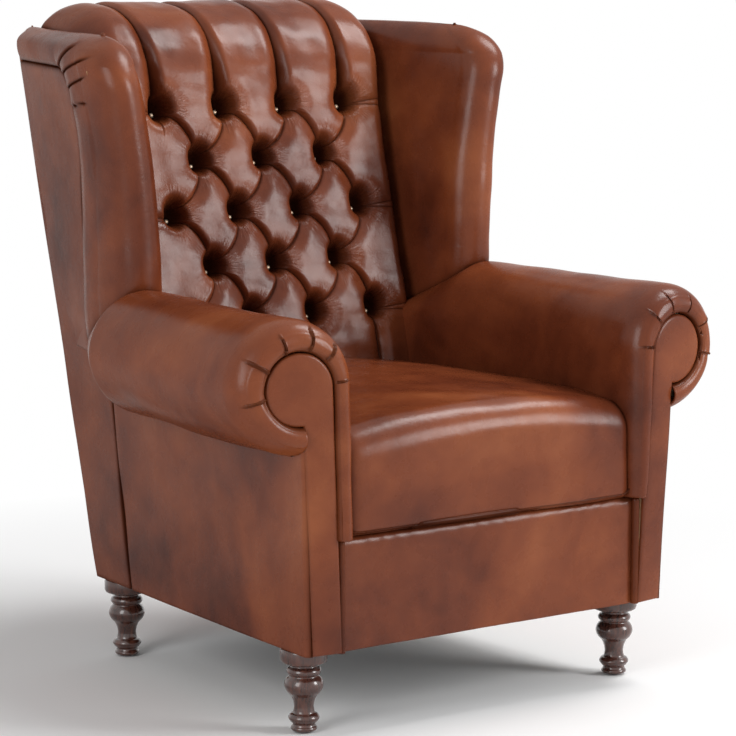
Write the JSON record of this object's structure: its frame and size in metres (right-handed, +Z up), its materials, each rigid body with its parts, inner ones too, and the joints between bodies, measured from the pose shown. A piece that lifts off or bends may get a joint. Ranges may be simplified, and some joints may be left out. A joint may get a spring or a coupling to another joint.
{
  "type": "wingback chair",
  "caption": "Leather wingback armchair with a button-tufted back, rolled arms, a tight sprung seat and turned wooden feet.",
  "frame": {"origin": "on the floor, under the middle of the chair's overall box", "axes": "+Z up, -Y is the front of the chair, X runs across it and the chair is the same on both sides of X = 0"},
  "size_m": [0.9076, 0.9006, 1.0513],
  "materials": {
    "leather": "semi-gloss antique brown leather with darker red-brown patches",
    "frame_wood": "bare sawn hardwood",
    "foot_wood": "dark red-brown gloss polish",
    "button_metal": "dull pale antique metal",
    "foam": "open-cell upholstery foam",
    "spring_steel": "oiled spring wire",
    "bolt_steel": "zinc plated",
    "webbing": "woven jute webbing",
    "lining_cloth": "black lining cloth",
    "twine": "waxed upholstery twine",
    "glide_plastic": "moulded nylon"
  },
  "bodies": {
    "root": {"front_rail": "frame_wood", "back_seat_rail": "frame_wood", "side_rail_left": "frame_wood", "side_rail_right": "frame_wood", "front_post_left": "frame_wood", "front_post_right": "frame_wood", "rear_post_left": "frame_wood", "rear_post_right": "frame_wood", "leg_blocks": "frame_wood", "top_back_rail": "frame_wood", "lower_back_rail": "frame_wood", "arm_board_left": "frame_wood", "arm_board_right": "frame_wood", "scroll_board_left": "frame_wood", "scroll_board_right": "frame_wood", "wing_board_left": "frame_wood", "wing_board_right": "frame_wood", "seat_springs": "spring_steel", "spring_clips": "spring_steel", "spring_cover": "lining_cloth", "seat_foam": "foam", "seat_cover": "leather", "front_rail_cover": "leather", "back_webbing": "webbing", "back_foam": "foam", "back_cover": "leather", "back_buttons": "button_metal", "button_twines": "twine", "outside_back_panel": "leather", "arm_foam_left": "foam", "arm_foam_right": "foam", "arm_cover_left": "leather", "arm_cover_right": "leather", "arm_facing_left": "leather", "arm_facing_right": "leather", "outside_arm_panel_left": "leather", "outside_arm_panel_right": "leather", "wing_foam_left": "foam", "wing_foam_right": "foam", "wing_cover_left": "leather", "wing_cover_right": "leather", "outside_wing_panel_left": "leather", "outside_wing_panel_right": "leather", "feet": "foot_wood", "hanger_bolts": "bolt_steel", "t_nuts": "bolt_steel", "foot_glides": "glide_plastic", "dust_cover": "lining_cloth"}
  },
  "joints": []
}
